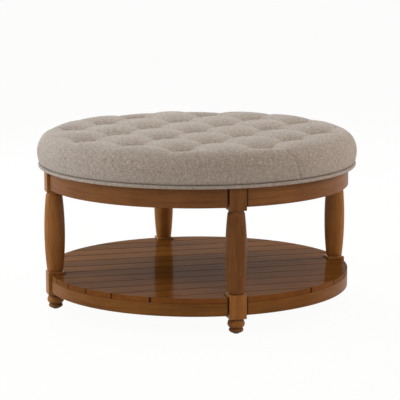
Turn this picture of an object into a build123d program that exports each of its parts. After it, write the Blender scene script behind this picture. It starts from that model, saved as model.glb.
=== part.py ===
"""Round ottoman coffee table: a tufted seat on four turned legs, with a curved apron and a plank shelf.

The origin is on the floor under the middle of the seat and +Z is up. Two legs stand on the X axis and two on
the Y axis, and the shelf planks run along X.
"""
import os
from math import cos, hypot, radians, sin, sqrt

from build123d import *

os.makedirs("parts", exist_ok=True)

# Plan of the base
ring_radius = 420.0
rail_thickness = 20.0
shadow_gap = 3.0
fit_gap = 0.2
cut_overrun = 5.0
fixing_sides = 6
round_sides = 12

# Heights above the floor
block_foot_height = 41.0
shelf_rail_lift = 9.0
shelf_rail_height = 35.0
plank_thickness = 14.0
block_stand_up = 6.0
apron_bottom = 335.5
apron_height = 51.3
block_hang_down = 8.5

# Turned leg
block_width = 46.0
block_proud = 7.0
block_edge_chamfer = 1.8
barrel_radius = 28.4
barrel_belly_rise = 116.0
barrel_top_radius = 22.8
barrel_foot_radius = 22.4
barrel_top_step = 9.0
barrel_foot_step = 5.0
barrel_neck_radius = 20.4
ring_turning_radius = 22.8
ring_turning_height = 26.5
ring_flat = 7.0
ring_top_radius = 18.8
foot_groove_radius = 17.4
foot_groove_height = 14.8
bun_radius = 19.3
bun_belly_height = 9.6
bun_foot_radius = 11.0

# Glides under the feet
glide_radius = 8.2
glide_height = 2.4

# Joints between the rails and the leg blocks
tenon_thickness = 9.0
tenon_length = 12.0
apron_tenon_height = 34.0
shelf_tenon_height = 22.0
rail_edge_chamfer = 1.2

# Shelf planks and the battens under them
plank_count = 12
outer_plank_trim = 9.5
plank_gap = 1.2
plank_edge_chamfer = 1.8
notch_gap = 2.4
batten_count = 3
batten_edge_margin = 190.0
batten_width = 45.0
batten_thickness = 18.0
batten_end_gap = 0.3
batten_bolt_gap = 2.0

# Corner blocks behind the legs, and the bolts that hold them
corner_block_depth = 26.0
corner_block_half_width = 104.0
corner_block_seat_gap = 0.3
corner_block_drop = 1.5
seat_corner_height = 38.0
shelf_corner_height = 24.0
bolt_radius = 4.0
bolt_hole_gap = 0.25
bolt_in_leg = 34.0
bolt_past_nut = 5.0
nut_flat_radius = 6.5
nut_height = 8.0

# Seat board, foam and dust cover
fabric_thickness = 1.2
board_overhang = 8.0
board_thickness = 12.0
foam_height = 34.0
lip_width = 34.0
dust_cover_thickness = 1.0
dust_cover_folds = 24
soft_gap = 0.3

# Cushion cover: crown, drawn-in side and welt
side_wadding = 9.0
belly_swell = 6.0
crown_wadding = 48.6
shoulder_reach = 50.0
shoulder_drop = 51.3
shoulder_steps = 3
welt_radius = 4.3
welt_inset = 1.8
welt_sides = 6
welt_groove = 1.4

# Tufts: a square net of deep pits, set cornerwise to the legs
tuft_net_reach_share = 3.3
tuft_turn = -2.0
tuft_edge_margin = 68.3
pit_floor_wadding = 6.5
pit_roll_radius = 27.0
pit_throat_radius = 3.6
pit_steps = 3
crease_depth = 5.5
crease_half_width = 38.0
mouth_lift = 1.0
tie_radius = 1.1
tie_hole_gap = 0.4
tie_sides = 4
tie_washer_radius = 7.0
tie_washer_thickness = 1.4

# Radii and heights that follow
leg_circle_radius = ring_radius + block_proud - block_width / 2
board_radius = ring_radius + board_overhang
seam_radius = board_radius + side_wadding
belly_radius = seam_radius + belly_swell
welt_circle_radius = seam_radius - welt_inset
plank_pitch = 2 * (ring_radius + outer_plank_trim) / plank_count
batten_spacing = ring_radius - batten_edge_margin
tuft_pitch = (board_radius - tuft_edge_margin) / tuft_net_reach_share
shelf_rail_bottom = block_foot_height + shelf_rail_lift
shelf_rail_top = shelf_rail_bottom + shelf_rail_height
shelf_top = shelf_rail_top + plank_thickness
lower_block_top = shelf_top + block_stand_up
upper_block_bottom = apron_bottom - block_hang_down
apron_top = apron_bottom + apron_height
board_bottom = apron_top + fabric_thickness
board_top = board_bottom + board_thickness
foam_top = board_top + foam_height
crown_top = foam_top + crown_wadding
welt_height = apron_top + fabric_thickness + welt_radius

# Legs stand at the ends of the X and Y axes, and quarter n of a ring runs from leg n to the next one
leg_turns = {"right": 0, "back": 90, "left": 180, "front": 270}
legs = list(leg_turns)


def leg_plane(leg, height):
    """Plane on the leg's axis, at a height, with its x direction pointing out from the middle of the table."""
    turn = radians(leg_turns[leg])
    out = (cos(turn), sin(turn), 0)
    foot = (leg_circle_radius * out[0], leg_circle_radius * out[1], height)
    return Plane(origin=foot, x_dir=out, z_dir=(0, 0, 1))


def profile_plane(leg):
    """Upright plane through the leg's axis: x points out from the table's middle and y is up."""
    flat = leg_plane(leg, 0)
    return Plane(origin=flat.origin, x_dir=flat.x_dir, z_dir=-flat.y_dir)


def facing_plane(leg, reach, side, height):
    """Plane at a distance out along the leg's line and aside of it, whose normal points out from the table."""
    flat = leg_plane(leg, height)
    place = flat.from_local_coords((reach - leg_circle_radius, side, 0))
    return Plane(origin=place, x_dir=flat.y_dir, z_dir=flat.x_dir)


def middle_plane(leg, height):
    """Plane on the table's middle with its x direction towards a leg."""
    flat = leg_plane(leg, height)
    return Plane(origin=(0, 0, height), x_dir=flat.x_dir, z_dir=flat.z_dir)


def quarter_plane(quarter, height):
    """Plane on the table's middle, turned so that the rail of that quarter lies between its x and y axes."""
    turn = radians(90 * quarter)
    return Plane(origin=(0, 0, height), x_dir=(cos(turn), sin(turn), 0), z_dir=(0, 0, 1))


def tuft_places():
    """Middles of the tufts: every second point of a square net, well inside the board's edge."""
    turn = radians(tuft_turn)
    places = []
    for column in range(-3, 4):
        for row in range(-3, 4):
            if (column + row) % 2 == 0 and hypot(column, row) < tuft_net_reach_share:
                across, back = column * tuft_pitch, row * tuft_pitch
                places.append((across * cos(turn) - back * sin(turn), across * sin(turn) + back * cos(turn)))
    return places


tufts = tuft_places()

block_half = block_width / 2
block_back = leg_circle_radius - block_half
corner_back = block_back - corner_block_depth
rail_inner_radius = ring_radius - rail_thickness

bolt_back = corner_back - nut_height - bolt_past_nut

# Legs
mortise_depth = tenon_length + fit_gap
tenon_circle_radius = ring_radius - rail_thickness / 2
apron_tenon_bottom = apron_bottom + (apron_height - apron_tenon_height) / 2
shelf_tenon_bottom = shelf_rail_bottom + (shelf_rail_height - shelf_tenon_height) / 2
seat_corner_bottom = apron_top - corner_block_drop - seat_corner_height
shelf_corner_bottom = shelf_rail_top - corner_block_drop - shelf_corner_height
bolt_heights = (shelf_corner_bottom + shelf_corner_height / 2, seat_corner_bottom + seat_corner_height / 2)
leg_blocks = (
    (block_foot_height, lower_block_top, shelf_tenon_bottom, shelf_tenon_height),
    (upper_block_bottom, apron_top, apron_tenon_bottom, apron_tenon_height),
)

with BuildPart() as leg_set:
    for leg in legs:
        axis = Axis(leg_plane(leg, 0).origin, (0, 0, 1))
        for block_bottom, block_top, tenon_bottom, tenon_height in leg_blocks:
            with BuildSketch(leg_plane(leg, block_bottom)):
                Rectangle(block_width, block_width)
            extrude(amount=block_top - block_bottom)
            chamfer(leg_set.edges(Select.LAST), length=block_edge_chamfer)
        # Barrel between the blocks, fullest at its belly and stepped in under the upper block
        with BuildSketch(profile_plane(leg)):
            with BuildLine():
                belly = (barrel_radius, lower_block_top + barrel_belly_rise)
                foot_end = (barrel_foot_radius, lower_block_top + barrel_foot_step)
                top_end = (barrel_top_radius, upper_block_bottom - barrel_top_step)
                ThreePointArc(foot_end, belly, top_end)
                Polyline(
                    top_end, (barrel_neck_radius, upper_block_bottom), (0, upper_block_bottom),
                    (0, lower_block_top), (barrel_neck_radius, lower_block_top), foot_end,
                )
            make_face()
        revolve(axis=axis)
        # Ring turning and bun foot under the lower block
        with BuildSketch(profile_plane(leg)):
            with BuildLine():
                ring_half = ring_flat / 2
                Polyline(
                    (0, glide_height), (bun_foot_radius, glide_height), (bun_radius, bun_belly_height),
                    (foot_groove_radius, foot_groove_height),
                    (ring_turning_radius, ring_turning_height - ring_half),
                    (ring_turning_radius, ring_turning_height + ring_half),
                    (ring_top_radius, block_foot_height), (0, block_foot_height), (0, glide_height),
                )
            make_face()
        revolve(axis=axis)
        # Mortises for the rail tenons, one in each side of both blocks
        for block_bottom, block_top, tenon_bottom, tenon_height in leg_blocks:
            with BuildSketch(leg_plane(leg, tenon_bottom - fit_gap)):
                for side in (-1, 1):
                    mortise_middle = block_half + (cut_overrun - mortise_depth) / 2
                    with Locations((tenon_circle_radius - leg_circle_radius, side * mortise_middle)):
                        Rectangle(tenon_thickness + 2 * fit_gap, mortise_depth + cut_overrun)
            extrude(amount=tenon_height + 2 * fit_gap, mode=Mode.SUBTRACT)
        # Pilot holes for the hanger bolts
        for bolt_height in bolt_heights:
            with BuildSketch(facing_plane(leg, block_back, 0, bolt_height)):
                RegularPolygon(bolt_radius + fit_gap, fixing_sides)
            extrude(amount=bolt_in_leg + fit_gap, mode=Mode.SUBTRACT)
leg_set.part.label = "legs"
export_step(leg_set.part, "parts/legs.step")

with BuildPart() as glides:
    for leg in legs:
        with BuildSketch(leg_plane(leg, 0)):
            RegularPolygon(glide_radius, round_sides)
        extrude(amount=glide_height)
glides.part.label = "glides"
export_step(glides.part, "parts/glides.step")

# Curved rails: the apron under the seat, and the shelf rail under the planks
rail_sets = (
    ("apron_rails", apron_bottom, apron_height, apron_tenon_bottom, apron_tenon_height),
    ("shelf_rails", shelf_rail_bottom, shelf_rail_height, shelf_tenon_bottom, shelf_tenon_height),
)
rail_end = block_half + shadow_gap
tenon_end = block_half - tenon_length
tenon_reach = rail_end + cut_overrun
for set_name, rail_bottom, rail_height, tenon_bottom, tenon_height in rail_sets:
    with BuildPart() as rails:
        for quarter in range(len(legs)):
            with BuildSketch(quarter_plane(quarter, rail_bottom)):
                Circle(ring_radius)
                Circle(rail_inner_radius, mode=Mode.SUBTRACT)
                with Locations((rail_end, rail_end)):
                    Rectangle(ring_radius, ring_radius, align=(Align.MIN, Align.MIN), mode=Mode.INTERSECT)
            extrude(amount=rail_height)
            # Stub tenons into the leg blocks at both ends
            with BuildSketch(quarter_plane(quarter, tenon_bottom)):
                with Locations((tenon_circle_radius, (tenon_end + tenon_reach) / 2)):
                    Rectangle(tenon_thickness, tenon_reach - tenon_end)
                with Locations(((tenon_end + tenon_reach) / 2, tenon_circle_radius)):
                    Rectangle(tenon_reach - tenon_end, tenon_thickness)
            extrude(amount=tenon_height)
        outer_arcs = rails.edges().filter_by(GeomType.CIRCLE).filter_by(
            lambda edge: edge.radius > rail_inner_radius + fit_gap
        )
        chamfer(outer_arcs.group_by(Axis.Z)[0], length=rail_edge_chamfer)
        if set_name == "shelf_rails":
            chamfer(outer_arcs.group_by(Axis.Z)[-1], length=rail_edge_chamfer)
    rails.part.label = set_name
    export_step(rails.part, f"parts/{set_name}.step")

# Shelf planks: a disc sawn into boards and notched round the legs
notch_width = block_width + 2 * notch_gap
notch_depth = ring_radius - leg_circle_radius + block_half + notch_gap
for number in range(plank_count):
    board_low = (number - plank_count / 2) * plank_pitch
    board_high = board_low + plank_pitch
    if number == 0:
        board_low = -ring_radius - cut_overrun
    if number == plank_count - 1:
        board_high = ring_radius + cut_overrun
    with BuildPart() as plank:
        with BuildSketch(Plane.XY.offset(shelf_rail_top)):
            Circle(ring_radius)
        extrude(amount=plank_thickness)
        with BuildSketch(Plane.XY.offset(shelf_rail_top)):
            with Locations((0, (board_low + board_high) / 2)):
                Rectangle(2 * ring_radius, board_high - board_low - plank_gap)
        extrude(amount=plank_thickness, mode=Mode.INTERSECT)
        top_edges = plank.edges().filter_by(Axis.X).group_by(Axis.Z)[-1]
        chamfer(top_edges, length=plank_edge_chamfer)
        for leg in legs:
            with BuildSketch(leg_plane(leg, shelf_rail_top)):
                with Locations((-block_half - notch_gap, 0)):
                    Rectangle(notch_depth + cut_overrun, notch_width, align=(Align.MIN, Align.CENTER))
            extrude(amount=plank_thickness, mode=Mode.SUBTRACT)
    name = f"shelf_plank_{number + 1:02d}"
    plank.part.label = name
    export_step(plank.part, f"parts/{name}.step")

# Battens across the planks, between the curved rails
for number in range(batten_count):
    across = (number - (batten_count - 1) / 2) * batten_spacing
    outer_side = abs(across) + batten_width / 2
    half_length = sqrt((rail_inner_radius - batten_end_gap) ** 2 - outer_side**2)
    if number == (batten_count - 1) / 2:
        half_length = bolt_back - batten_bolt_gap
    with BuildPart() as batten:
        with BuildSketch(Plane.XY.offset(shelf_rail_top)):
            with Locations((across, 0)):
                Rectangle(batten_width, 2 * half_length)
        extrude(amount=-batten_thickness)
        chamfer(batten.edges().filter_by(Axis.Y).group_by(Axis.Z)[0], length=plank_edge_chamfer)
    name = f"shelf_batten_{number + 1}"
    batten.part.label = name
    export_step(batten.part, f"parts/{name}.step")

# Corner blocks: they back each leg block, follow the rails' inner curve and take the bolt
corner_outer_radius = rail_inner_radius - corner_block_seat_gap
corner_sets = (
    ("seat_corner_blocks", seat_corner_bottom, seat_corner_height),
    ("shelf_corner_blocks", shelf_corner_bottom, shelf_corner_height),
)
for set_name, corner_bottom, corner_height in corner_sets:
    bolt_height = corner_bottom + corner_height / 2
    with BuildPart() as corners:
        for leg in legs:
            with BuildSketch(middle_plane(leg, corner_bottom)):
                Circle(corner_outer_radius)
                with Locations((corner_back, 0)):
                    Rectangle(
                        ring_radius, 2 * corner_block_half_width,
                        align=(Align.MIN, Align.CENTER), mode=Mode.INTERSECT,
                    )
                with Locations((block_back, 0)):
                    Rectangle(
                        ring_radius, block_width + 2 * notch_gap,
                        align=(Align.MIN, Align.CENTER), mode=Mode.SUBTRACT,
                    )
            extrude(amount=corner_height)
        for leg in legs:
            with BuildSketch(facing_plane(leg, corner_back, 0, bolt_height)):
                RegularPolygon(bolt_radius + bolt_hole_gap, fixing_sides)
            extrude(amount=corner_block_depth, mode=Mode.SUBTRACT)
    corners.part.label = set_name
    export_step(corners.part, f"parts/{set_name}.step")

# Hanger bolts through the corner blocks into the legs, with their nuts
with BuildPart() as hanger_bolts:
    for leg in legs:
        for bolt_height in bolt_heights:
            with BuildSketch(facing_plane(leg, bolt_back, 0, bolt_height)):
                RegularPolygon(bolt_radius, fixing_sides)
            extrude(amount=block_back + bolt_in_leg - bolt_back)
hanger_bolts.part.label = "hanger_bolts"
export_step(hanger_bolts.part, "parts/hanger_bolts.step")

with BuildPart() as bolt_nuts:
    for leg in legs:
        for bolt_height in bolt_heights:
            with BuildSketch(facing_plane(leg, corner_back, 0, bolt_height)):
                RegularPolygon(nut_flat_radius, fixing_sides, major_radius=False)
                RegularPolygon(bolt_radius + fit_gap, fixing_sides, mode=Mode.SUBTRACT)
            extrude(amount=-nut_height)
bolt_nuts.part.label = "bolt_nuts"
export_step(bolt_nuts.part, "parts/bolt_nuts.step")

# Seat board and foam, with a hole for each tuft's tie
tie_hole_radius = tie_radius + tie_hole_gap
with BuildPart() as seat_board:
    with BuildSketch(Plane.XY.offset(board_bottom)):
        Circle(board_radius)
        with Locations(*tufts):
            RegularPolygon(tie_hole_radius, tie_sides, mode=Mode.SUBTRACT)
    extrude(amount=board_thickness)
seat_board.part.label = "seat_board"
export_step(seat_board.part, "parts/seat_board.step")

with BuildPart() as foam_slab:
    with BuildSketch(Plane.XY.offset(board_top)):
        Circle(board_radius)
        with Locations(*tufts):
            RegularPolygon(tie_hole_radius, tie_sides, mode=Mode.SUBTRACT)
    extrude(amount=foam_height)
foam_slab.part.label = "foam_slab"
export_step(foam_slab.part, "parts/foam_slab.step")

# Tuft ties: a twine down through foam and board, knotted on a washer under the board
washer_bottom = board_bottom - tie_washer_thickness
with BuildPart() as tuft_ties:
    with BuildSketch(Plane.XY.offset(washer_bottom)):
        with Locations(*tufts):
            RegularPolygon(tie_washer_radius, fixing_sides)
    extrude(amount=tie_washer_thickness)
    with BuildSketch(Plane.XY.offset(board_bottom)):
        with Locations(*tufts):
            RegularPolygon(tie_radius, tie_sides)
    extrude(amount=foam_top + soft_gap - board_bottom)
tuft_ties.part.label = "tuft_ties"
export_step(tuft_ties.part, "parts/tuft_ties.step")

# Dust cover stapled under the board inside the corner blocks, its hem folded in short straight lengths
with BuildPart() as dust_cover:
    with BuildSketch(Plane.XY.offset(washer_bottom - dust_cover_thickness)):
        RegularPolygon(corner_back - soft_gap, dust_cover_folds)
    extrude(amount=dust_cover_thickness)
dust_cover.part.label = "dust_cover"
export_step(dust_cover.part, "parts/dust_cover.step")

# Cushion cover with its wadding: crown, drawn-in side, turned-in lip under the board
lip_inner_radius = board_radius - lip_width
cavity_radius = board_radius + soft_gap
groove_radius = welt_circle_radius - welt_radius - soft_gap
groove_top = welt_height + welt_radius + welt_groove
shoulder_start = crown_top - shoulder_drop
shoulder = []
for step in range(shoulder_steps + 1):
    bend = radians(90 * step / shoulder_steps)
    reach = belly_radius - shoulder_reach * (1 - cos(bend))
    shoulder.append((reach, shoulder_start + (crown_top - shoulder_start) * sin(bend)))
side_middle = (belly_radius - (belly_radius - seam_radius) / 4, (groove_top + shoulder_start) / 2)

# A tuft's pit: from all four sides the cloth rolls over its mouth into a narrow throat
roll_height = crown_top + mouth_lift - pit_roll_radius
pit_bottom = foam_top + soft_gap + pit_floor_wadding
pit_wall = [(pit_throat_radius, pit_bottom)]
for step in range(pit_steps + 1):
    bend = radians(90 * step / pit_steps)
    half_width = pit_throat_radius + pit_roll_radius * (1 - cos(bend))
    pit_wall.append((half_width, roll_height + pit_roll_radius * sin(bend)))
pit_outline = pit_wall + [(-half_width, height) for half_width, height in reversed(pit_wall)]
with BuildPart() as tuft_pit:
    with BuildSketch(Plane.XZ):
        with BuildLine():
            Polyline(*pit_outline, close=True)
        make_face()
    extrude(amount=tuft_pitch, both=True)
    with BuildSketch(Plane.YZ):
        with BuildLine():
            Polyline(*pit_outline, close=True)
        make_face()
    extrude(amount=tuft_pitch, both=True, mode=Mode.INTERSECT)

with BuildPart() as cushion_cover:
    with BuildSketch(Plane.XZ):
        with BuildLine():
            Polyline(
                (0, foam_top + soft_gap), (cavity_radius, foam_top + soft_gap),
                (cavity_radius, board_bottom), (lip_inner_radius, board_bottom),
                (lip_inner_radius, apron_top), (groove_radius, apron_top),
                (groove_radius, groove_top), (seam_radius, groove_top), side_middle,
                *shoulder, (0, crown_top), close=True,
            )
        make_face()
    revolve(axis=Axis.Z)
    # Creases along both diagonals of the tuft net, running out over the shoulder
    for direction in (45, 135):
        turn = radians(direction + tuft_turn)
        along, aside = (cos(turn), sin(turn), 0), (-sin(turn), cos(turn), 0)
        for line in range(-2, 3):
            shift = line * tuft_pitch * sqrt(2)
            start = (shift * aside[0], shift * aside[1], crown_top)
            with BuildSketch(Plane(origin=start, x_dir=aside, z_dir=along)):
                with BuildLine():
                    Polyline(
                        (-crease_half_width, mouth_lift), (0, -crease_depth), (crease_half_width, mouth_lift),
                        close=True,
                    )
                make_face()
            extrude(amount=belly_radius, both=True, mode=Mode.SUBTRACT)
    with Locations(*[Location((across, back, 0), (0, 0, tuft_turn)) for across, back in tufts]):
        add(tuft_pit.part, mode=Mode.SUBTRACT)
cushion_cover.part.label = "cushion_cover"
export_step(cushion_cover.part, "parts/cushion_cover.step")

# Welt cord round the foot of the cushion
with BuildPart() as welt:
    with BuildSketch(Plane.XZ):
        with Locations((welt_circle_radius, welt_height)):
            RegularPolygon(welt_radius, welt_sides)
    revolve(axis=Axis.Z)
welt.part.label = "welt"
export_step(welt.part, "parts/welt.step")
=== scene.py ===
"""Dresses the round tufted ottoman table for its picture: linen cushion, stained wood, light and camera.

Lengths are in metres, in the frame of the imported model: the floor is z = 0 and the seat's middle is x = y = 0.
Two legs stand on the x axis and two on the y axis, and the shelf planks run along x.
"""

from math import atan2, cos, exp, hypot, pi, radians, sin, sqrt

import bmesh
import bpy
from mathutils import Matrix, Vector, noise
from mathutils.bvhtree import BVHTree
from mathutils.geometry import barycentric_transform, delaunay_2d_cdt


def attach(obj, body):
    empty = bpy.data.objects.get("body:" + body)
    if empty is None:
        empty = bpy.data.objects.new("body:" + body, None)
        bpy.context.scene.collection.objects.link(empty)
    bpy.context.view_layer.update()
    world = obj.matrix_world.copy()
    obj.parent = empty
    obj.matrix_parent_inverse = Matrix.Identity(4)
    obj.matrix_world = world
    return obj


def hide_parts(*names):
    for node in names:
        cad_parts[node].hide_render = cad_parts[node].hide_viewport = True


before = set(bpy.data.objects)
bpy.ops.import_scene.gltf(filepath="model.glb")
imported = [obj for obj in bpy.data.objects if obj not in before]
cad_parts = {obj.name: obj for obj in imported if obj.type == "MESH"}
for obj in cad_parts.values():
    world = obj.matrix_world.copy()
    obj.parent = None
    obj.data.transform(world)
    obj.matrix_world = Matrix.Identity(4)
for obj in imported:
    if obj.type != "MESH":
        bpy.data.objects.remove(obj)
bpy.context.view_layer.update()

MM = 0.001

# Measures that several pieces share
leg_turns = {"right": 0, "back": 90, "left": 180, "front": 270}
plank_count = 12
plank_pitch = 2 * (420 + 9.5) / plank_count * MM


# Small helpers for meshes

def placed(name, mesh):
    """New object in the scene that shows a mesh."""
    piece = bpy.data.objects.new(name, mesh)
    bpy.context.scene.collection.objects.link(piece)
    return piece


def mesh_object(name, verts, faces, material=None, smooth=True):
    """New object from points and faces."""
    mesh = bpy.data.meshes.new(name)
    mesh.from_pydata(verts, [], faces)
    mesh.update()
    for polygon in mesh.polygons:
        polygon.use_smooth = smooth
    if material:
        mesh.materials.append(material)
    return placed(name, mesh)


def worked_object(name, work, *materials):
    """New object from a bmesh, which ends here, with its faces turned outward."""
    mesh = bpy.data.meshes.new(name)
    bmesh.ops.recalc_face_normals(work, faces=work.faces)
    work.to_mesh(mesh)
    work.free()
    for material in materials:
        mesh.materials.append(material)
    return placed(name, mesh)


def subdivided(piece):
    """Rounds a piece by one level of subdivision and keeps the result as its mesh."""
    modifier = piece.modifiers.new("smooth", "SUBSURF")
    modifier.levels = modifier.render_levels = 1
    graph = bpy.context.evaluated_depsgraph_get()
    mesh = bpy.data.meshes.new_from_object(piece.evaluated_get(graph))
    piece.modifiers.clear()
    old, piece.data = piece.data, mesh
    bpy.data.meshes.remove(old)


def shown(piece, slot, *nodes):
    """The piece rides on the table's body and stands for these nodes; the slot is not used."""
    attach(piece, "root")
    if nodes:
        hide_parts(*nodes)


def turned_round(degrees, place=(0, 0, 0)):
    """The move of a piece made round the z axis: out to a place, then round the table's middle."""
    return Matrix.Rotation(radians(degrees), 4, "Z") @ Matrix.Translation(place)


# Small helpers for materials

class Nodes:
    """A material's node tree, with short calls for the nodes that the materials here use."""

    def __init__(self, name):
        self.material = bpy.data.materials.new(name)
        self.material.use_nodes = True
        self.tree = self.material.node_tree
        self.shader = self.tree.nodes["Principled BSDF"]

    def add(self, kind, **values):
        node = self.tree.nodes.new(kind)
        for key, value in values.items():
            setattr(node, key, value)
        return node

    def put(self, socket, value):
        """Links a socket to another node's output, or sets it to a plain value."""
        if isinstance(value, bpy.types.NodeSocket):
            self.tree.links.new(value, socket)
        elif value is not None:
            socket.default_value = value

    def math(self, operation, a, b=None, c=None):
        node = self.add("ShaderNodeMath", operation=operation)
        for socket, value in zip(node.inputs, (a, b, c)):
            self.put(socket, value)
        return node.outputs[0]

    def size(self, value):
        return self.math("ABSOLUTE", value)

    def place(self, kind="Object"):
        return self.add("ShaderNodeTexCoord").outputs[kind]

    def parts(self, vector):
        node = self.add("ShaderNodeSeparateXYZ")
        self.put(node.inputs[0], vector)
        return node.outputs

    def vector(self, x, y, z):
        node = self.add("ShaderNodeCombineXYZ")
        for socket, value in zip(node.inputs, (x, y, z)):
            self.put(socket, value)
        return node.outputs[0]

    def scaled(self, vector, scale, rotation=(0, 0, 0)):
        node = self.add("ShaderNodeMapping")
        self.put(node.inputs["Vector"], vector)
        node.inputs["Scale"].default_value = scale
        node.inputs["Rotation"].default_value = rotation
        return node.outputs[0]

    def noise(self, vector, scale=1.0, detail=3.0, roughness=0.5, distortion=0.0):
        node = self.add("ShaderNodeTexNoise")
        self.put(node.inputs["Vector"], vector)
        node.inputs["Scale"].default_value = scale
        node.inputs["Detail"].default_value = detail
        node.inputs["Roughness"].default_value = roughness
        node.inputs["Distortion"].default_value = distortion
        return node.outputs["Fac"]

    def ramp(self, factor, *stops):
        """A colour ramp through stops of position and colour, or position and grey level."""
        node = self.add("ShaderNodeValToRGB")
        self.put(node.inputs["Fac"], factor)
        elements = node.color_ramp.elements
        while len(elements) < len(stops):
            elements.new(0.5)
        for element, (position, color) in zip(elements, stops):
            element.position = position
            element.color = (*color, 1) if isinstance(color, tuple) else (color, color, color, 1)
        return node.outputs["Color"]

    def mix(self, factor, a, b, blend="MIX"):
        node = self.add("ShaderNodeMix", data_type="RGBA", blend_type=blend)
        self.put(node.inputs["Factor"], factor)
        self.put(node.inputs["A"], (*a, 1) if isinstance(a, tuple) else a)
        self.put(node.inputs["B"], (*b, 1) if isinstance(b, tuple) else b)
        return node.outputs["Result"]

    def tinted(self, color, tint, where=None):
        """The colour times a tint, everywhere or where a mask is 1."""
        tinted = self.mix(1.0, color, tint, "MULTIPLY")
        return tinted if where is None else self.mix(where, color, tinted)

    def bump(self, height, distance, strength=1.0, normal=None):
        node = self.add("ShaderNodeBump")
        self.put(node.inputs["Height"], height)
        node.inputs["Distance"].default_value = distance
        node.inputs["Strength"].default_value = strength
        if normal:
            self.put(node.inputs["Normal"], normal)
        return node.outputs["Normal"]

    def bevel(self, radius):
        node = self.add("ShaderNodeBevel", samples=4)
        node.inputs["Radius"].default_value = radius
        return node.outputs["Normal"]

    def finish(self, color=None, normal=None, roughness=None, **fixed):
        """Joins colour, normal and roughness to the shader, sets its other inputs and returns the material."""
        self.put(self.shader.inputs["Base Color"], color)
        self.put(self.shader.inputs["Normal"], normal)
        self.put(self.shader.inputs["Roughness"], roughness)
        for name, value in fixed.items():
            self.shader.inputs[name.replace("_", " ").title().replace("Ior", "IOR")].default_value = value
        return self.material


# Wood. The grain runs up the legs, along the planks or round the rails, and is drawn out along its run.

straight_stretch, round_stretch = 0.035, 0.015
plank_shift = 0.37
soft_edge = 0.0012

# Painted shade in the hollows of a turned foot, by the share of foot_high: its bottom, the groove and the neck
foot_high = 0.045
foot_shade_tones = (
    (0.0, 0.05), (0.11, 0.22), (0.22, 0.95), (0.30, 0.42), (0.37, 0.45), (0.48, 1.0), (0.72, 0.95), (0.86, 0.50),
    (0.92, 1.0),
)

# Painted light and shade along the rails from left to right, as the side lamps fall on them, and the redder tone of
# the lower ones
rail_painted_light = ((0.0, 1.0), (0.20, 0.95), (0.40, 0.80), (0.75, 1.04), (0.93, 1.08), (1.0, 0.86))
rail_share = 1.2
low_rails_top, low_rail_tint = 0.2, (0.97, 0.93, 0.58)

# Planks: their range of tones, painted shade in the grooves at their joints and the redder tone of their upright edges
plank_tones = ((0.0, 0.78), (1.0, 1.12))
joint_shade_tones = ((0.014, 0.18), (0.036, 1.0))
plank_edge_tint = (1.0, 0.90, 0.67)

# The shade in the narrow gap beside a leg's block, by ten times the distance from the leg's middle
beside_leg_reach = 0.376
beside_leg_tones = ((0.262, 0.12), (0.290, 1.0))


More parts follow.
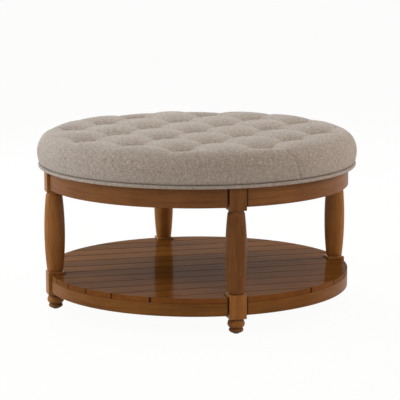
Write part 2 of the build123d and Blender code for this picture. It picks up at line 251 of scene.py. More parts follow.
def wood(name, flow, dark, light, coat=0.08, pitch=None, level=0.05):
    """Wood between a dark and a light tone; with a pitch, every plank has a tone and a grain of its own."""
    n = Nodes(name)
    x, y, z = n.parts(n.place())
    if flow == "up":
        grain = n.vector(x, y, n.math("MULTIPLY", z, straight_stretch))
    elif flow == "planks":
        grain = n.vector(n.math("MULTIPLY", x, straight_stretch), y, z)
    else:
        angle = n.math("ARCTAN2", y, x)
        reach = n.math("SQRT", n.math("ADD", n.math("MULTIPLY", x, x), n.math("MULTIPLY", y, y)))
        grain = n.vector(n.math("MULTIPLY", angle, round_stretch), reach, z)
    if pitch:
        number = n.math("FLOOR", n.math("DIVIDE", y, pitch))
        shift = n.math("MULTIPLY", number, plank_shift)
        run, across, _ = n.parts(grain)
        grain = n.vector(n.math("ADD", run, shift), across, n.math("ADD", z, shift))

    streaks = n.noise(grain, scale=420, detail=5, roughness=0.62)
    bands = n.noise(grain, scale=70, detail=3, roughness=0.5, distortion=0.6)
    blotch = n.noise(n.place(), scale=9, detail=2)
    pores = n.noise(grain, scale=1500, detail=2, roughness=0.7)
    tone = n.math("ADD", n.math("MULTIPLY", streaks, 0.40), n.math("MULTIPLY", bands, 0.35))
    tone = n.math("ADD", tone, n.math("MULTIPLY", blotch, 0.25))
    middle = tuple((a + b) / 2 for a, b in zip(dark, light))
    color = n.ramp(tone, (0.34, dark), (0.5, middle), (0.66, light))

    if pitch:
        own = n.add("ShaderNodeTexWhiteNoise", noise_dimensions="1D")
        n.put(own.inputs["W"], number)
        color = n.tinted(color, n.ramp(own.outputs["Value"], *plank_tones))
        # painted shade in the grooves at the planks' joints
        in_plank = n.math("FRACT", n.math("ADD", n.math("DIVIDE", y, pitch), 0.5))
        to_joint = n.size(n.math("SUBTRACT", in_plank, 0.5))
        color = n.tinted(color, n.ramp(to_joint, *joint_shade_tones))
        upright = n.math("LESS_THAN", n.size(n.parts(n.place("Normal"))[2]), 0.5)
        color = n.tinted(color, plank_edge_tint, upright)
    elif flow == "ring":
        # painted light and shade along the rails from left to right
        color = n.tinted(color, n.ramp(n.math("MULTIPLY_ADD", x, rail_share, 0.5), *rail_painted_light))
        color = n.tinted(color, low_rail_tint, n.math("LESS_THAN", z, low_rails_top))
    elif flow == "up":
        # painted shade in the hollows of the foot: its bottom, the groove and the neck
        color = n.tinted(color, n.ramp(n.math("DIVIDE", z, foot_high), *foot_shade_tones))
    if pitch or flow == "ring":
        near_leg = n.math("MINIMUM", n.size(x), n.size(y))
        far_out = n.math("GREATER_THAN", n.math("MAXIMUM", n.size(x), n.size(y)), beside_leg_reach)
        color = n.tinted(color, n.ramp(n.math("MULTIPLY", near_leg, 10.0), *beside_leg_tones), far_out)

    in_pore = n.math("MULTIPLY", n.ramp(pores, (0.30, 1.0), (0.42, 0.0)), 0.35)
    color = n.mix(in_pore, color, tuple(c * 0.45 for c in dark))
    rough = n.ramp(streaks, (0.3, 0.36), (0.7, 0.48))
    normal = n.bump(streaks, 0.00012, 0.5, n.bevel(soft_edge))
    return n.finish(
        color, normal, rough, specular_ior_level=level, coat_weight=coat, coat_roughness=0.10,
    )


# The legs' wood and a lighter copy of it, which is painted light for the legs at the sides and back and for the front
# leg's lower block and foot
wood_up = wood("wood_legs", "up", (0.100, 0.034, 0.0075), (0.234, 0.093, 0.0265))
wood_up_lit = wood("wood_legs_lit", "up", (0.176, 0.062, 0.0125), (0.400, 0.163, 0.043))
wood_ring = wood("wood_rails", "ring", (0.126, 0.045, 0.0115), (0.276, 0.110, 0.035))
wood_planks = wood(
    "wood_planks", "planks", (0.144, 0.050, 0.0088), (0.246, 0.0915, 0.0185), coat=0.13, pitch=plank_pitch, level=0.0,
)
bare_wood = wood("wood_bare", "planks", (0.42, 0.26, 0.135), (0.58, 0.39, 0.225), coat=0.0)


def plywood():
    """The seat board's veneer, with its grain along x."""
    n = Nodes("plywood")
    x, y, z = n.parts(n.place())
    face = n.noise(n.vector(n.math("MULTIPLY", x, 0.04), y, z), scale=160, detail=4)
    return n.finish(n.ramp(face, (0.35, (0.36, 0.25, 0.14)), (0.65, (0.52, 0.38, 0.23))), roughness=0.7)


def plain(name, color, light, scale, depth, **fixed):
    """A plain stuff with a fine grain of its own: plastic, cloth, steel or foam."""
    n = Nodes(name)
    grain = n.noise(n.place(), scale=scale, detail=3, roughness=0.6)
    return n.finish(n.ramp(grain, (0.35, color), (0.65, light)), n.bump(grain, depth, 0.6), **fixed)


glide_plastic = plain("glide_plastic", (0.012, 0.012, 0.012), (0.02, 0.02, 0.02), 900, 0.0001, roughness=0.45)
dust_cloth = plain("dust_cloth", (0.010, 0.010, 0.011), (0.030, 0.030, 0.032), 1600, 0.0002, roughness=0.95)
steel = plain("zinc_steel", (0.42, 0.42, 0.43), (0.56, 0.56, 0.57), 700, 0.00003, roughness=0.38, metallic=1.0)
foam = plain("foam", (0.66, 0.60, 0.42), (0.74, 0.69, 0.52), 1200, 0.0005, roughness=0.95)
twine = plain("twine", (0.36, 0.31, 0.23), (0.50, 0.44, 0.34), 1100, 0.0003, roughness=0.9)


# Linen: a plain weave of slubby threads, laid by the cloth's own measure in the uv map

thread_pitch = 0.0024
thread_sway = 0.0035
slub_stretch = (780, 85, 1), (85, 780, 1)


def linen():
    """Greige linen: threads that wander a little, go over and under and change in tone along their slubs."""
    n = Nodes("linen")
    uv = n.scaled(n.place("UV"), (1, 1, 1), (0, 0, pi / 4))
    wander = n.noise(uv, scale=60, detail=2)
    u, v, _ = n.parts(uv)
    sway = n.math("MULTIPLY", n.math("SUBTRACT", wander, 0.5), thread_sway)
    across, along = n.math("ADD", u, sway), n.math("SUBTRACT", v, sway)
    turns = 2 * pi / thread_pitch

    def wave(way, rate):
        return n.math("SINE", n.math("MULTIPLY", way, rate))

    over = n.math("GREATER_THAN", n.math("MULTIPLY", wave(across, turns / 2), wave(along, turns / 2)), 0.0)
    warp_height = n.math("MULTIPLY", n.size(wave(across, turns)), over)
    weft_height = n.math("MULTIPLY", n.size(wave(along, turns)), n.math("SUBTRACT", 1.0, over))
    weave = n.math("MAXIMUM", warp_height, weft_height)

    slub_u, slub_v = (n.noise(n.scaled(uv, stretch), detail=2, roughness=0.6) for stretch in slub_stretch)
    slubs = n.math("MULTIPLY", n.math("ADD", slub_u, slub_v), 0.5)
    color = n.ramp(
        slubs, (0.38, (0.240, 0.193, 0.162)), (0.50, (0.413, 0.347, 0.300)), (0.62, (0.622, 0.541, 0.475)),
    )
    color = n.tinted(color, n.ramp(weave, (0.0, 0.72), (0.6, 1.0)))
    cloud = n.noise(uv, scale=14, detail=3)
    color = n.tinted(color, n.ramp(cloud, (0.3, (0.955, 0.945, 0.94)), (0.7, (1.0, 1.0, 0.995))))
    height = n.math("ADD", n.math("MULTIPLY", weave, 0.6), n.math("MULTIPLY", slubs, 0.8))
    return n.finish(
        color, n.bump(height, 0.0007, 0.7), roughness=0.92, specular_ior_level=0.12,
        sheen_weight=0.25, sheen_roughness=0.45,
    )


linen_cloth = linen()


# Tufts, the folds between them and the pleats that run out to the welt, in the cloth's own plane

pitch = 109 * MM
tuft_turn = radians(-2.0)
net_reach = 3.3
step = pitch * sqrt(2)


def net_point(column, row):
    """A point of the tufts' net, turned as the cushion is."""
    across, back = column * pitch, row * pitch
    return Vector((across * cos(tuft_turn) - back * sin(tuft_turn), across * sin(tuft_turn) + back * cos(tuft_turn)))


net = {
    (column, row): net_point(column, row)
    for column in range(-3, 4) for row in range(-3, 4)
    if (column + row) % 2 == 0 and hypot(column, row) < net_reach
}

# The cushion's outline from the middle of the crown out, over the shoulder as a superellipse, down to the welt and
# in under the board, as reach and height
crown_top = 484.0 * MM
shoulder_in, belly, shoulder_low = 385 * MM, 443 * MM, 431.5 * MM
shoulder_points, shoulder_power = 16, 2.7
outline = [(0.0, crown_top), (shoulder_in, crown_top)]
for count in range(1, shoulder_points + 1):
    bend = count / shoulder_points * pi / 2
    outline.append((
        shoulder_in + (belly - shoulder_in) * sin(bend) ** (2 / shoulder_power),
        shoulder_low + (crown_top - shoulder_low) * cos(bend) ** (2 / shoulder_power),
    ))
down_to_welt = (
    (442.8, 425), (442.3, 419), (441.6, 413), (440.9, 407.5), (440.1, 402.6), (439.1, 399.4), (437.2, 397.6),
    (433.9, 397.2),
)
under_board = (
    (430.6, 396.6), (428.9, 394.6), (428.8, 389.4), (427.4, 387.6), (420.0, 387.4), (394.0, 387.4),
)
rim_count = len(outline) + len(down_to_welt)
outline += [(r * MM, z * MM) for r, z in down_to_welt + under_board]
reached = [0.0]
for (r0, z0), (r1, z1) in zip(outline, outline[1:]):
    reached.append(reached[-1] + hypot(r1 - r0, z1 - z0))
cloth_reach, rim_way = reached[-1], reached[rim_count - 1]


def on_outline(way):
    """Reach, height and outward normal of the outline at a way along it from the middle."""
    count = 0
    while way > reached[count + 1] and count < len(outline) - 2:
        count += 1
    (r0, z0), (r1, z1) = outline[count], outline[count + 1]
    length = reached[count + 1] - reached[count]
    share = (way - reached[count]) / length
    return r0 + (r1 - r0) * share, z0 + (z1 - z0) * share, (z0 - z1) / length, (r1 - r0) / length


# Creases as start, end, depth at both ends, the side on which the cloth rolls over softly, and their family: 0 and 1
# are the two directions of the net, and 2 are the drops and the seam on the side. Folds join two tufts, pleats run
# from the outer tufts over the shoulder, and a drop goes on from each pleat down to the welt, but for the one foot
# at the seam.
fold_deep = 2.2 * MM, 2.2 * MM
pleat_deep = 1.5 * MM, 0.8 * MM
drop_deep = 1.1 * MM, 0.7 * MM
seam_deep = 3.6 * MM, 3.6 * MM
seam_foot = (2, -4)
seam_ends = (-70.6, 0.420), (-66.6, rim_way)

creases, pleat_feet = [], {}
for (column, row), start in net.items():
    for across, back in ((1, 1), (1, -1), (-1, 1), (-1, -1)):
        other, family = (column + across, row + back), int(across == back)
        if other not in net:
            pleat_feet[other] = net_point(*other)
            creases.append((start, pleat_feet[other], *pleat_deep, 1 if family else -1, family))
        elif other > (column, row):
            creases.append((start, net[other], *fold_deep, 0, family))
for number, (foot, foot_point) in enumerate(pleat_feet.items()):
    if foot != seam_foot:
        lean = 1 if number % 2 else -1
        creases.append((foot_point, foot_point.normalized() * rim_way, *drop_deep, lean, 2))
seam_start, seam_end = (Vector((cos(radians(turn)), sin(radians(turn)))) * way for turn, way in seam_ends)
creases.append((seam_start, seam_end, *seam_deep, 1, 2))


def clamped(value):
    """A value kept between 0 and 1."""
    return min(1.0, max(0.0, value))


def to_segment(point, start, end):
    """Offset of a point from a segment, and the share along it."""
    run = end - start
    share = max(0.0, min(1.0, (point - start).dot(run) / run.length_squared))
    return point - start - run * share, share


pit_deep, pit_reach, pit_power = 32 * MM, 56 * MM, 2.1
pillow_high, pillow_reach, pillow_power = 14 * MM, step / 2, 3.0
pillow_fade = 40 * MM
pleat_fall, pleat_power = 0.5, 1.8
fold_rise, fold_power = 0.58, 0.8


def sunk(point):
    """How far the cloth lies under the smooth outline at a point of its own plane, before it swells."""
    depth = 0.0
    for tuft in net.values():
        away = (point - tuft).length
        if away < pit_reach:
            depth = pit_deep * (1 - away / pit_reach) ** pit_power
    folded = [0.0, 0.0]
    for start, end, _, _, lean, family in creases:
        if family < 2:
            offset, share = to_segment(point, start, end)
            if offset.length < pillow_reach:
                if lean:
                    fall = pleat_fall * (1 - share) ** pleat_power
                else:
                    fall = 1 - fold_rise * sin(pi * share) ** fold_power
                folded[family] = max(folded[family], fall * (1 - offset.length / pillow_reach) ** pillow_power)
    fade = clamped((rim_way - point.length) / pillow_fade)
    return depth + fade * pillow_high * (1 - (1 - folded[0]) * (1 - folded[1]))


crease_reach, crease_fade = 16 * MM, 6 * MM
fold_wide, soft_side_wide, sharp_side_wide = 3.0 * MM, 4.6 * MM, 1.3 * MM
fold_middle_rise = 0.45


def creased(point):
    """Depth of the sharp part of a crease or pleat at a point of the cloth's plane."""
    deepest = 0.0
    for start, end, deep_start, deep_end, lean, _ in creases:
        offset, share = to_segment(point, start, end)
        aside = offset.length
        if aside < crease_reach:
            run = end - start
            turned_side = 1 if run.x * offset.y - run.y * offset.x > 0 else -1
            wide = fold_wide if not lean else (soft_side_wide if turned_side == lean else sharp_side_wide)
            deep = deep_start + (deep_end - deep_start) * share
            if not lean:
                deep *= 1 - fold_middle_rise * sin(pi * share)
            deepest = max(deepest, deep * exp(-aside / wide))
    return deepest * clamped((rim_way - point.length) / crease_fade)


# Rows of points beside a crease, in mm, and the room kept round the rim, the creases and the rows' points, as
# shares of the spacing
row_shifts = (0, -1.3, 1.3, -3.4, 3.4)
rim_room, crease_room, row_room, row_spacing = 0.6, 0.95, 0.4, 0.85
cell_size = 1.2 * MM


def cushion_mesh(spacing, with_rows):
    """Points and faces of the cloth's plane: a net along the tufts' diagonals, rows beside each crease, round rims."""
    turn = tuft_turn + pi / 4
    along, aside = Vector((cos(turn), sin(turn))), Vector((-sin(turn), cos(turn)))
    count = int(cloth_reach / spacing) + 1
    flat = []
    for i in range(-count, count + 1):
        for j in range(-count, count + 1):
            point = along * (i * spacing) + aside * (j * spacing)
            if point.length > rim_way - rim_room * spacing:
                continue
            if with_rows and any(to_segment(point, c[0], c[1])[0].length < crease_room * spacing for c in creases):
                continue
            flat.append(point)
    if with_rows:
        taken = set()
        for start, end, *_ in creases:
            run = end - start
            normal = Vector((-run.y, run.x)).normalized()
            pieces = max(2, int(run.length / (row_spacing * spacing)))
            for i in range(pieces + 1):
                for shift in row_shifts:
                    point = start + run * (i / pieces) + normal * (shift * MM)
                    cell = (round(point.x / cell_size), round(point.y / cell_size))
                    if cell not in taken and point.length < rim_way - row_room * spacing:
                        taken.add(cell)
                        flat.append(point)
    around = int(2 * pi * rim_way / spacing)
    for ring in [rim_way] + reached[rim_count:]:
        for i in range(around):
            flat.append(Vector((cos(2 * pi * i / around), sin(2 * pi * i / around))) * ring)
    flat, _, faces, *_ = delaunay_2d_cdt(flat, [], [], 0, 1e-6)
    return flat, faces


def quads(piece):
    """Joins the triangles of a piece into four-sided faces where that fits, and turns the faces outward."""
    work = bmesh.new()
    work.from_mesh(piece.data)
    bmesh.ops.join_triangles(work, faces=work.faces, angle_face_threshold=pi, angle_shape_threshold=pi)
    bmesh.ops.recalc_face_normals(work, faces=work.faces)
    if sum(face.normal.z for face in work.faces) < 0:
        bmesh.ops.reverse_faces(work, faces=work.faces)
    work.to_mesh(piece.data)
    work.free()


def flat_map(piece, flat):
    """Keeps the cloth's plane, in metres, as the piece's uv map."""
    uv = piece.data.uv_layers.new(name="cloth")
    for loop in piece.data.loops:
        uv.data[loop.index].uv = flat[loop.vertex_index]


# First a coarse cloth, drawn down at the tufts, that swells under pressure. It starts a little under its outline,
# as far as the pressure lifts it again. It is held at the welt, at the tufts and, less firmly, along the creases.

swell, swell_cap = 2.2 * MM, 7 * MM
free_way = 22 * MM
tuft_hold, crease_hold, crease_share = 9 * MM, 5 * MM, 0.45
pressure_frames = 20

flat, faces = cushion_mesh(step / (20), False)
points, held = [], []
for point in flat:
    way = point.length
    r, z, out, up = on_outline(way)
    heading = point / way if way > 1e-9 else Vector((1, 0))
    free = clamped((rim_way - way) / free_way)
    wave = 1.1 * MM * noise.noise(Vector((point.x, point.y, 0.3)) * 11)
    wave += 0.5 * MM * noise.noise(Vector((point.x, point.y, 2.3)) * 31)
    deep = sunk(point) + swell * free - wave * free
    r -= deep * out
    points.append((heading.x * r, heading.y * r, z - deep * up))
    nearest = min((point - tuft).length for tuft in net.values())
    line = min(to_segment(point, c[0], c[1])[0].length for c in creases)
    hold = max(1 - free, exp(-(nearest / tuft_hold) ** 2), crease_share * exp(-(line / crease_hold) ** 2))
    held.append(1.0 if way > rim_way - 1 * MM else hold)
soft = mesh_object("cloth_draft", points, faces)
flat_map(soft, flat)
quads(soft)
start_places = [v.co.copy() for v in soft.data.vertices]
group = soft.vertex_groups.new(name="held")
for index, weight in enumerate(held):
    group.add([index], weight, "REPLACE")
cloth = soft.modifiers.new("cloth", "CLOTH")
cloth.settings.quality = 5
cloth.settings.mass = 0.3
cloth.settings.tension_stiffness = 2
cloth.settings.compression_stiffness = 2
cloth.settings.shear_stiffness = 0.8
cloth.settings.bending_stiffness = 0.08
cloth.settings.use_pressure = True
cloth.settings.uniform_pressure_force = 24
cloth.settings.vertex_group_mass = "held"
cloth.settings.effector_weights.gravity = 0
cloth.collision_settings.use_collision = False
cloth.point_cache.frame_start, cloth.point_cache.frame_end = 1, pressure_frames
for count in range(1, pressure_frames + 1):
    bpy.context.scene.frame_set(count)
swollen = soft.evaluated_get(bpy.context.evaluated_depsgraph_get()).data
moved = [v.co.copy() for v in swollen.vertices]
bpy.context.scene.frame_set(1)
soft.modifiers.clear()
for vertex, old, new in zip(soft.data.vertices, start_places, moved):
    way = new - old
    vertex.co = old + way * min(1.0, swell_cap / way.length) if way.length else old
subdivided(soft)

# Then the final cloth is laid over it by their common plane, and creased along the folds and pleats

uv = soft.data.uv_layers["cloth"].data
soft.data.calc_loop_triangles()
plane = [Vector((0, 0, 0))] * len(soft.data.vertices)
for loop in soft.data.loops:
    plane[loop.vertex_index] = Vector((*uv[loop.index].uv, 0))
triangles = [tuple(t.vertices) for t in soft.data.loop_triangles]
plane_tree = BVHTree.FromPolygons(plane, triangles)
places = [v.co.copy() for v in soft.data.vertices]
normals = [v.normal.copy() for v in soft.data.vertices]

flat, faces = cushion_mesh(step / (28), True)
points = []
for point in flat:
    spot, _, index, _ = plane_tree.find_nearest(Vector((point.x, point.y, 0)))
    corners = triangles[index]
    place = barycentric_transform(spot, *[plane[c] for c in corners], *[places[c] for c in corners])
    normal = sum((normals[c] for c in corners), Vector((0, 0, 0))).normalized()
    points.append(place - normal * creased(point))
cushion = mesh_object("cushion_linen", points, faces, linen_cloth)
flat_map(cushion, flat)
quads(cushion)
bpy.data.objects.remove(soft)
subdivided(cushion)
shown(cushion, "linen", "cushion_cover")


# Welt: a corded tube of the same cloth, cut on the bias

welt_reach, welt_height, welt_radius = 436.0 * MM, 392.5 * MM, 4.6 * MM
welt_unevenness = 0.035


def corded_ring(name, reach, height, radius, around, section, material):
    """A ring of slightly uneven round section, with the cloth's measure on the bias as its uv map."""
    verts, faces, loops = [], [], []
    for i in range(around):
        turn = 2 * pi * i / around
        for j in range(section):
            bend = 2 * pi * j / section
            thick = radius * (1 + welt_unevenness * noise.noise(Vector((cos(turn), sin(turn), bend)) * 9.0))
            r = reach + thick * cos(bend)
            verts.append((r * cos(turn), r * sin(turn), height + thick * sin(bend)))
    for i in range(around):
        for j in range(section):
            a, b = (i + 1) % around, (j + 1) % section
            faces.append((i * section + j, a * section + j, a * section + b, i * section + b))
            loops.append(((i, j), (i + 1, j), (i + 1, j + 1), (i, j + 1)))
    piece = mesh_object(name, verts, faces, material)
    uv = piece.data.uv_layers.new(name="cloth")
    for polygon, corners in zip(piece.data.polygons, loops):
        for loop, (i, j) in zip(polygon.loop_indices, corners):
            along, round_it = 2 * pi * reach * i / around, 2 * pi * radius * j / section
            uv.data[loop].uv = ((along + round_it) / sqrt(2), (along - round_it) / sqrt(2))
    return piece


welt = corded_ring("welt_cord", welt_reach, welt_height, welt_radius, 360, 14, linen_cloth)
shown(welt, "linen", "welt")


# Legs: two square blocks, a barrel between them, a ring turning and a bun foot, on a moulded glide. Their profiles
# are in mm, as reach from the leg's axis and height.

def arc_through(first, middle, last, count):
    """Points on the circle through three points, from the first to the last."""
    (x1, y1), (x2, y2), (x3, y3) = first, middle, last
    d = 2 * (x1 * (y2 - y3) + x2 * (y3 - y1) + x3 * (y1 - y2))
    a, b, c = x1 * x1 + y1 * y1, x2 * x2 + y2 * y2, x3 * x3 + y3 * y3
    cx = (a * (y2 - y3) + b * (y3 - y1) + c * (y1 - y2)) / d
    cy = (a * (x3 - x2) + b * (x1 - x3) + c * (x2 - x1)) / d
    radius = hypot(x1 - cx, y1 - cy)
    start, end = atan2(y1 - cy, x1 - cx), atan2(y3 - cy, x3 - cx)
    turns = [start + (end - start) * i / count for i in range(count + 1)]
    return [(cx + radius * cos(turn), cy + radius * sin(turn)) for turn in turns]


def smooth_profile(points, steps=6):
    """Catmull-Rom curve through the points of a turned profile."""
    ends = [points[0], *points, points[-1]]
    out = []
    for before, a, b, after in zip(ends, ends[1:], ends[2:], ends[3:]):
        for i in range(steps):
            t = i / steps
            out.append(tuple(
                0.5 * (2 * q + (r - p) * t + (2 * p - 5 * q + 4 * r - s) * t * t + (3 * q - p - 3 * r + s) * t ** 3)
                for p, q, r, s in zip(before, a, b, after)
            ))
    return out + [points[-1]]


def turned(work, profile, sides, move):
    """Adds a turned body to a bmesh; the profile runs up from the axis and back to it, in mm."""
    rings = []
    for r, z in profile:
        turns = [0] if r < 0.01 else [2 * pi * i / sides for i in range(sides)]
        rings.append([
            work.verts.new(move @ Vector((r * MM * cos(turn), r * MM * sin(turn), z * MM))) for turn in turns
        ])
    for low, high in zip(rings, rings[1:]):
        for i in range(sides):
            j = (i + 1) % sides
            corners = [low[0]] if len(low) == 1 else [low[i], low[j]]
            corners += [high[0]] if len(high) == 1 else [high[j], high[i]]
            work.faces.new(corners)


def squared(work, width, bottom, top, rounding, move):
    """Adds a square block with rounded edges to a bmesh, in mm."""
    made = bmesh.ops.create_cube(work, size=1.0)["verts"]
    size = Matrix.Diagonal((width * MM, width * MM, (top - bottom) * MM, 1))
    shape = Matrix.Translation((0, 0, (bottom + top) / 2 * MM)) @ size
    bmesh.ops.transform(work, matrix=move @ shape, verts=made)
    edges = list(dict.fromkeys(edge for vert in made for edge in vert.link_edges))
    bmesh.ops.bevel(work, geom=edges, offset=rounding * MM, segments=4, profile=0.5, affect="EDGES")


leg_reach = 404 * MM
block_width, block_rounding = 46.0, 1.7
low_block, high_block = (41.0, 105.0), (327.0, 386.8)
# Below this height the front leg takes the lighter copy of its wood: painted light on its lower block and foot
front_lit_below = 105.2 * MM
barrel = [(0, 104.5), (20.0, 104.5), (20.2, 106.6), (21.3, 107.6)]
barrel += arc_through((22.4, 110.0), (28.4, 221.0), (22.8, 318.0), 40)
barrel += [(22.2, 319.4), (21.0, 321.0), (20.3, 323.2), (20.2, 327.5), (0, 327.5)]
foot = [(0, 2.4), (10.6, 2.4)] + smooth_profile([
    (11.4, 2.5), (15.6, 4.4), (18.6, 7.2), (19.3, 9.9), (18.4, 12.8), (17.2, 14.4), (17.6, 16.0), (20.4, 19.0),
    (22.4, 22.6), (22.9, 26.4), (22.4, 30.2), (20.8, 34.2), (19.0, 37.6), (18.4, 41.4),
]) + [(0, 41.5)]
glide = [(0, 0), (6.9, 0), (7.9, 0.35), (8.2, 1.0), (8.2, 2.4), (0, 2.4)]


def turned_piece(name, work, slot, node, *materials):
    """A finished turning: smooth, with its real edges kept sharp, in place of a node."""
    piece = worked_object(name, work, *materials)
    piece.data.polygons.foreach_set("use_smooth", [True] * len(piece.data.polygons))
    piece.data.set_sharp_from_angle(angle=radians(38))
    shown(piece, slot, node)
    return piece


for side, turn in leg_turns.items():
    stand = turned_round(turn, (leg_reach, 0, 0))
    work = bmesh.new()
    squared(work, block_width, *low_block, block_rounding, stand)
    squared(work, block_width, *high_block, block_rounding, stand)
    turned(work, barrel, 96, stand)
    turned(work, foot, 72, stand)
    # The legs at the sides and back, and the front leg's lower block and foot, take the lighter copy of the wood:
    # painted light
    tones = (wood_up, wood_up_lit) if side == "front" else (wood_up_lit,)
    leg = turned_piece(f"leg_{side}", work, "stained_wood", "legs", *tones)
    if side == "front":
        for polygon in leg.data.polygons:
            polygon.material_index = int(polygon.center.z < front_lit_below)
    work = bmesh.new()
    turned(work, glide, 48, stand)
    turned_piece(f"glide_{side}", work, "glide_plastic", "glides", glide_plastic)


# Dust cover: black cloth stretched under the board, cut to 24 sides, its edge turned in and stapled in short straight
# lengths. It sags a little in the middle and puckers between the staples.

cover_reach, cover_folds, cover_height = 354.7 * MM, 24, 386.4 * MM
cover_sag, cover_slack, pucker_high, pucker_reach = 2.4 * MM, 0.5 * MM, 0.7 * MM, 22 * MM
hem_thick, hem_wide, hem_step = 0.5 * MM, 14 * MM, 1.5 * MM
rings, around = 40, 240
verts, faces = [(0, 0, cover_height - cover_sag)], []
for ring in range(1, rings + 1):
    for i in range(around):
        turn = 2 * pi * i / around
        bend = (turn % (2 * pi / cover_folds)) - pi / cover_folds
        edge = cover_reach * cos(pi / cover_folds) / cos(bend)
        share = ring / rings
        pucker = pucker_high * exp(-(1 - share) * edge / pucker_reach) * cos(bend * cover_folds / 2) * (share < 1)
        hem = hem_thick * clamped((share * edge - edge + hem_wide) / hem_step)
        height = cover_height - cover_sag * (1 - share ** 2) - pucker - hem
        height += cover_slack * noise.noise(Vector((share * cos(turn), share * sin(turn), 4.1)) * 3.0) * (1 - share)
        verts.append((edge * share * cos(turn), edge * share * sin(turn), height))
for i in range(around):
    j = (i + 1) % around
    faces.append((0, 1 + j, 1 + i))
    for ring in range(rings - 1):
        a, b = 1 + ring * around, 1 + (ring + 1) * around
        faces.append((a + i, a + j, b + j, b + i))
dust = mesh_object("dust_cloth", verts, faces, dust_cloth)
shown(dust, "dust_cloth", "dust_cover")


# Staples round the dust cover and round the linen's turned-in lip, where no leg is in the way, and the heads of the
# screws under the corner blocks and the battens

def under_ring(reach, count, offset=0.5):
    """Places round the middle at a reach, with the heading of each."""
    for i in range(count):
        turn = 2 * pi * (i + offset) / count
        yield reach * cos(turn), reach * sin(turn), turn


lip_reach, lip_staples, lip_height = 400 * MM, 56, 387.2 * MM
leg_room = 60 * MM
staple_thick, staple_long = 1.0, 10
staple_up, staple_down = 0.2, 0.7
hem_staple_inset, hem_staple_drop = 8 * MM, 1.0 * MM
staples = bmesh.new()
places = [
    (place, cover_height - hem_staple_drop) for place in under_ring(cover_reach - hem_staple_inset, 2 * cover_folds)
]
places += [
    (place, lip_height) for place in under_ring(lip_reach, lip_staples) if min(abs(place[0]), abs(place[1])) > leg_room
]
for (x, y, turn), height in places:
    squared(staples, staple_thick, height / MM - staple_down, height / MM + staple_up, staple_thick / 4,
            Matrix.Translation((x, y, 0)) @ Matrix.Rotation(turn, 4, "Z") @ Matrix.Diagonal((1, staple_long, 1, 1)))

screws = bmesh.new()
screw_head = [(0, -0.1), (1.3, -0.1), (1.5, -0.8), (3.0, -0.75), (3.9, -0.35), (4.1, 0.1), (0, 0.1)]
screw_sides = 20
corner_reach, corner_asides, corner_undersides = 374, (-72, 72), (347.3, 59.5)
batten_screws, batten_underside = ((-230, 8), (0, 10), (230, 8)), 67
for turn in leg_turns.values():
    for height in corner_undersides:
        for aside in corner_asides:
            move = turned_round(turn, (corner_reach * MM, aside * MM, height * MM))
            turned(screws, screw_head, screw_sides, move)
for across, rows in batten_screws:
    for row in range(rows):
        move = Matrix.Translation((across * MM, (row - (rows - 1) / 2) * plank_pitch, batten_underside * MM))
        turned(screws, screw_head, screw_sides, move)

shown(worked_object("staples", staples, steel), "steel")
shown(worked_object("screw_heads", screws, steel), "steel")


# The CAD's own pieces that stay in view get their material

finishes = {
    "apron_rails": wood_ring, "shelf_rails": wood_ring, "seat_board": plywood(), "foam_slab": foam,
    "tuft_ties": twine, "hanger_bolts": steel, "bolt_nuts": steel,
}
for name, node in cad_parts.items():
    if name.startswith("shelf_plank"):
        stuff = wood_planks
    elif name.startswith("shelf_batten") or name.endswith("corner_blocks"):
        stuff = bare_wood
    else:
        stuff = finishes.get(name)
    if stuff:
        for place in range(len(node.material_slots)):
            node.material_slots[place].material = stuff


# Floor and backdrop: white to the eye and in reflections, and plain for the light that falls on the table

def light_path(tree):
    """1 for what the camera sees, directly or in a reflection or through glass."""
    path = tree.nodes.new("ShaderNodeLightPath")
    seen = path.outputs["Is Camera Ray"]
    for other in ("Is Glossy Ray", "Is Transmission Ray"):
        both = tree.nodes.new("ShaderNodeMath")
        both.operation = "MAXIMUM"
        tree.links.new(seen, both.inputs[0])
        tree.links.new(path.outputs[other], both.inputs[1])
        seen = both.outputs[0]
    return seen


floor_half = 40
floor_white_share = 0.96
corners = [(-floor_half, -floor_half, 0), (floor_half, -floor_half, 0), (floor_half, floor_half, 0),
           (-floor_half, floor_half, 0)]
floor = mesh_object("floor", corners, [(0, 1, 2, 3)], smooth=False)
n = Nodes("floor")
n.tree.nodes.remove(n.shader)
pale = n.add("ShaderNodeBsdfDiffuse")
pale.inputs["Color"].default_value = (0.82, 0.82, 0.815, 1)
glow = n.add("ShaderNodeEmission")
glow.inputs["Color"].default_value = (1.0, 1.0, 0.995, 1)
both = n.add("ShaderNodeMixShader")
n.put(both.inputs[0], n.math("MULTIPLY", light_path(n.tree), floor_white_share))
n.put(both.inputs[1], pale.outputs[0])
n.put(both.inputs[2], glow.outputs[0])
n.put(n.tree.nodes["Material Output"].inputs["Surface"], both.outputs[0])
floor.data.materials.append(n.material)

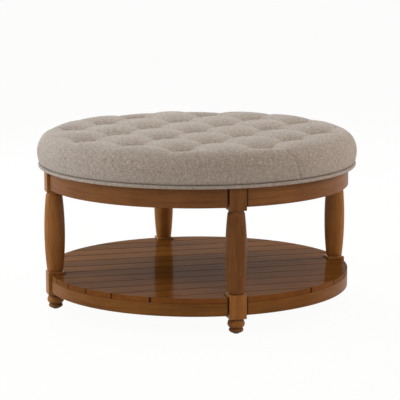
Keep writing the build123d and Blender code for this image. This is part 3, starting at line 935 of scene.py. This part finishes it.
world_light, world_warmth = 0.42, (1.0, 0.965, 0.93, 1)
world = bpy.data.worlds.new("studio")
bpy.context.scene.world = world
world.use_nodes = True
tree = world.node_tree
backdrop = tree.nodes["Background"]
tint = tree.nodes.new("ShaderNodeMix")
tint.data_type = "RGBA"
tint.inputs["A"].default_value = world_warmth
tint.inputs["B"].default_value = (1, 1, 1, 1)
tree.links.new(light_path(tree), tint.inputs["Factor"])
tree.links.new(tint.outputs["Result"], backdrop.inputs["Color"])
strength = tree.nodes.new("ShaderNodeMapRange")
strength.inputs["To Min"].default_value = world_light
strength.inputs["To Max"].default_value = 1.0
tree.links.new(light_path(tree), strength.inputs["Value"])
tree.links.new(strength.outputs["Result"], backdrop.inputs["Strength"])


# Light and camera

def softbox(name, place, aim_height, size, power, color):
    """A rectangular lamp that looks at the table's axis at a height; the power is in watts."""
    lamp = bpy.data.lights.new(name, "AREA")
    lamp.shape = "RECTANGLE"
    lamp.size, lamp.size_y = size
    lamp.energy = power
    lamp.color = color
    holder = placed(name, lamp)
    holder.location = place
    holder.rotation_euler = (Vector((0, 0, aim_height)) - Vector(place)).to_track_quat("-Z", "Y").to_euler()


softbox("softbox_top", (-0.1, 0.4, 2.6), 0.4, (1.6, 1.6), 9, (0.92, 0.97, 1))
softbox("softbox_back", (-0.3, 2.7, 1.9), 0.4, (3.0, 1.4), 53, (0.87, 0.96, 1))
softbox("softbox_left", (-2.5, 0.5, 1.3), 0.3, (1.4, 1.8), 38, (0.95, 0.985, 1))
softbox("softbox_right", (2.5, 0.1, 1.2), 0.3, (1.4, 1.8), 30, (1, 0.91, 0.81))
softbox("softbox_front", (0.1, -2.5, 2.2), 0.4, (1.6, 0.8), 16, (1, 0.87, 0.72))

camera_away, camera_height = 5.110, 1.180
bearing, look_down, roll = radians(14.45), 0.1735, -0.0028
camera = bpy.data.cameras.new("camera")
camera.lens, camera.sensor_width = 167.25, 36.0
camera.shift_x = 0.00725
camera.clip_end = 200
holder = placed("camera", camera)
holder.matrix_world = (
    Matrix.Translation((-camera_away * sin(bearing), -camera_away * cos(bearing), camera_height))
    @ Matrix.Rotation(-bearing, 4, "Z") @ Matrix.Rotation(pi / 2 - look_down, 4, "X") @ Matrix.Rotation(roll, 4, "Z")
)
bpy.context.scene.camera = holder
bpy.context.scene.view_settings.view_transform = "Standard"
